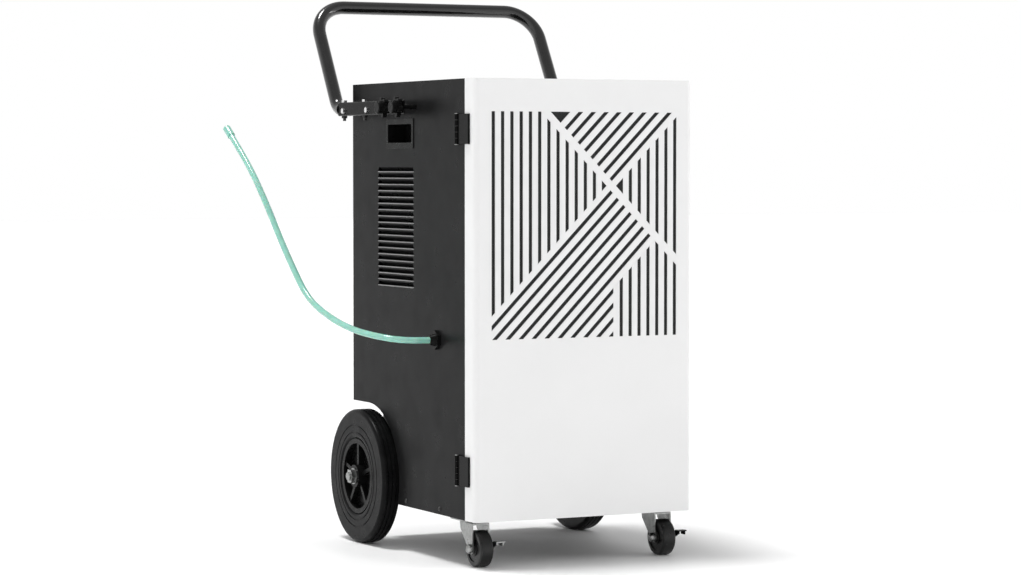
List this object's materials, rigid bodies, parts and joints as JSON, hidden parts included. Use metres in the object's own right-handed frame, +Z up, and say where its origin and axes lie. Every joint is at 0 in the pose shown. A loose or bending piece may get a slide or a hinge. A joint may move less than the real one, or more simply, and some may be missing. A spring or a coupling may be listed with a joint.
{
  "type": "wheeled dehumidifier",
  "caption": "Free-standing wheeled dehumidifier: steel cabinet with a slotted hinged door, folding U handle, drain hose, rear wheels and braked casters.",
  "frame": {"origin": "on the floor under the middle of the object's box, the drain hose left out", "axes": "+Z up, -Y towards the door (front), +X to the right as seen from the front"},
  "size_m": [0.6674, 0.729, 1.022],
  "materials": {
    "white_paint": "satin powder coat",
    "charcoal_paint": "satin powder coat",
    "black_paint": "gloss powder coat",
    "black_plastic": "fine moulded grain",
    "gloss_black": "gloss",
    "button_grey": "satin",
    "rubber": "satin",
    "tyre": "satin",
    "zinc": "zinc plated",
    "galvanised": "galvanised sheet",
    "aluminium": "mill finish fins",
    "copper": "bare copper",
    "hose": "translucent mint",
    "display": "gloss",
    "filter_mesh": "fine mesh",
    "tray_plastic": "moulded"
  },
  "bodies": {
    "cabinet": {"base_pan": "charcoal_paint", "left_side_panel": "charcoal_paint", "right_side_panel": "charcoal_paint", "rear_panel": "charcoal_paint", "top_cover": "charcoal_paint", "front_frame": "galvanised", "wheel_wells": "charcoal_paint", "grip_cups": "black_plastic", "control_panel": "gloss_black", "display_window": "display", "power_gland": "black_plastic", "drain_gland": "black_plastic", "panel_screws": "zinc", "body_hinge_leaves": "black_paint", "hinge_pins": "zinc", "air_filter": "filter_mesh", "evaporator": "aluminium", "condenser": "aluminium", "refrigerant_pipes": "copper", "compressor": "black_paint", "compressor_feet": "rubber", "fan_shroud": "galvanised", "fan_motor": "charcoal_paint", "drip_tray": "tray_plastic", "drain_pump": "tray_plastic", "pump_outlet": "rubber", "control_box": "galvanised", "pivot_studs": "zinc", "rear_axle": "zinc", "axle_nuts": "zinc", "caster_plates": "zinc", "drain_hose": "hose", "hose_cuff": "hose"},
    "door": {"door_shell": "white_paint", "door_mesh": "filter_mesh", "door_seal": "rubber", "door_hinge_leaves": "black_paint"},
    "handle": {"handle_tube": "black_paint", "left_arm": "black_paint", "right_arm": "black_paint", "arm_bolts": "zinc"},
    "left_pivot_knob": {"left_pivot_knob": "black_plastic"},
    "right_pivot_knob": {"right_pivot_knob": "black_plastic"},
    "left_lock_knob": {"left_lock_knob": "black_plastic"},
    "right_lock_knob": {"right_lock_knob": "black_plastic"},
    "left_wheel": {"left_tyre": "tyre", "left_hub": "black_plastic"},
    "right_wheel": {"right_tyre": "tyre", "right_hub": "black_plastic"},
    "left_caster": {"left_caster_fork": "zinc"},
    "right_caster": {"right_caster_fork": "zinc"},
    "left_caster_wheel": {"left_caster_wheel": "rubber"},
    "right_caster_wheel": {"right_caster_wheel": "rubber"},
    "left_brake": {"left_caster_pedal": "zinc"},
    "right_brake": {"right_caster_pedal": "black_paint"},
    "fan": {"fan_impeller": "black_plastic"},
    "power_button": {"power_button": "button_grey"},
    "up_button": {"up_button": "button_grey"},
    "down_button": {"down_button": "button_grey"},
    "drain_button": {"drain_button": "button_grey"}
  },
  "joints": [
    {"name": "door_hinge", "type": "hinge", "parent": "cabinet", "child": "door", "pos_m": [-0.2207, -0.27627, 0.4705], "axis": [0, 0, -1], "range_deg": [0, 150]},
    {"name": "handle_fold", "type": "hinge", "parent": "cabinet", "child": "handle", "pos_m": [0, -0.03527, 0.8105], "axis": [-1, 0, 0], "range_deg": [0, 76]},
    {"name": "rear_wheel_left", "type": "hinge", "parent": "cabinet", "child": "left_wheel", "pos_m": [-0.22425, 0.11473, 0.125], "axis": [1, 0, 0], "continuous": true},
    {"name": "rear_wheel_right", "type": "hinge", "parent": "cabinet", "child": "right_wheel", "pos_m": [0.22425, 0.11473, 0.125], "axis": [1, 0, 0], "continuous": true},
    {"name": "fan_spin", "type": "hinge", "parent": "cabinet", "child": "fan", "pos_m": [0, -0.14127, 0.6], "axis": [0, 1, 0], "continuous": true},
    {"name": "left_caster_swivel", "type": "hinge", "parent": "cabinet", "child": "left_caster", "pos_m": [-0.1835, -0.26327, 0.079], "axis": [0, 0, 1], "continuous": true},
    {"name": "left_caster_roll", "type": "hinge", "parent": "left_caster", "child": "left_caster_wheel", "pos_m": [-0.1835, -0.29127, 0.0325], "axis": [1, 0, 0], "continuous": true},
    {"name": "left_brake_press", "type": "hinge", "parent": "left_caster", "child": "left_brake", "pos_m": [-0.1835, -0.29127, 0.0325], "axis": [1, 0, 0], "range_deg": [0, 25]},
    {"name": "left_pivot_knob_turn", "type": "hinge", "parent": "cabinet", "child": "left_pivot_knob", "pos_m": [-0.255, -0.03527, 0.8105], "axis": [1, 0, 0], "continuous": true},
    {"name": "left_lock_knob_turn", "type": "hinge", "parent": "handle", "child": "left_lock_knob", "pos_m": [-0.255, -0.09627, 0.8105], "axis": [1, 0, 0], "continuous": true},
    {"name": "right_caster_swivel", "type": "hinge", "parent": "cabinet", "child": "right_caster", "pos_m": [0.1835, -0.26327, 0.079], "axis": [0, 0, 1], "continuous": true},
    {"name": "right_caster_roll", "type": "hinge", "parent": "right_caster", "child": "right_caster_wheel", "pos_m": [0.1835, -0.29127, 0.0325], "axis": [1, 0, 0], "continuous": true},
    {"name": "right_brake_press", "type": "hinge", "parent": "right_caster", "child": "right_brake", "pos_m": [0.1835, -0.29127, 0.0325], "axis": [1, 0, 0], "range_deg": [0, 25]},
    {"name": "right_pivot_knob_turn", "type": "hinge", "parent": "cabinet", "child": "right_pivot_knob", "pos_m": [0.255, -0.03527, 0.8105], "axis": [1, 0, 0], "continuous": true},
    {"name": "right_lock_knob_turn", "type": "hinge", "parent": "handle", "child": "right_lock_knob", "pos_m": [0.255, -0.09627, 0.8105], "axis": [1, 0, 0], "continuous": true},
    {"name": "power_button_press", "type": "slide", "parent": "cabinet", "child": "power_button", "axis": [0, 0, -1], "range_m": [0, 0.0012], "stiffness_N_per_m": 800},
    {"name": "up_button_press", "type": "slide", "parent": "cabinet", "child": "up_button", "axis": [0, 0, -1], "range_m": [0, 0.0012], "stiffness_N_per_m": 800},
    {"name": "down_button_press", "type": "slide", "parent": "cabinet", "child": "down_button", "axis": [0, 0, -1], "range_m": [0, 0.0012], "stiffness_N_per_m": 800},
    {"name": "drain_button_press", "type": "slide", "parent": "cabinet", "child": "drain_button", "axis": [0, 0, -1], "range_m": [0, 0.0012], "stiffness_N_per_m": 800}
  ]
}
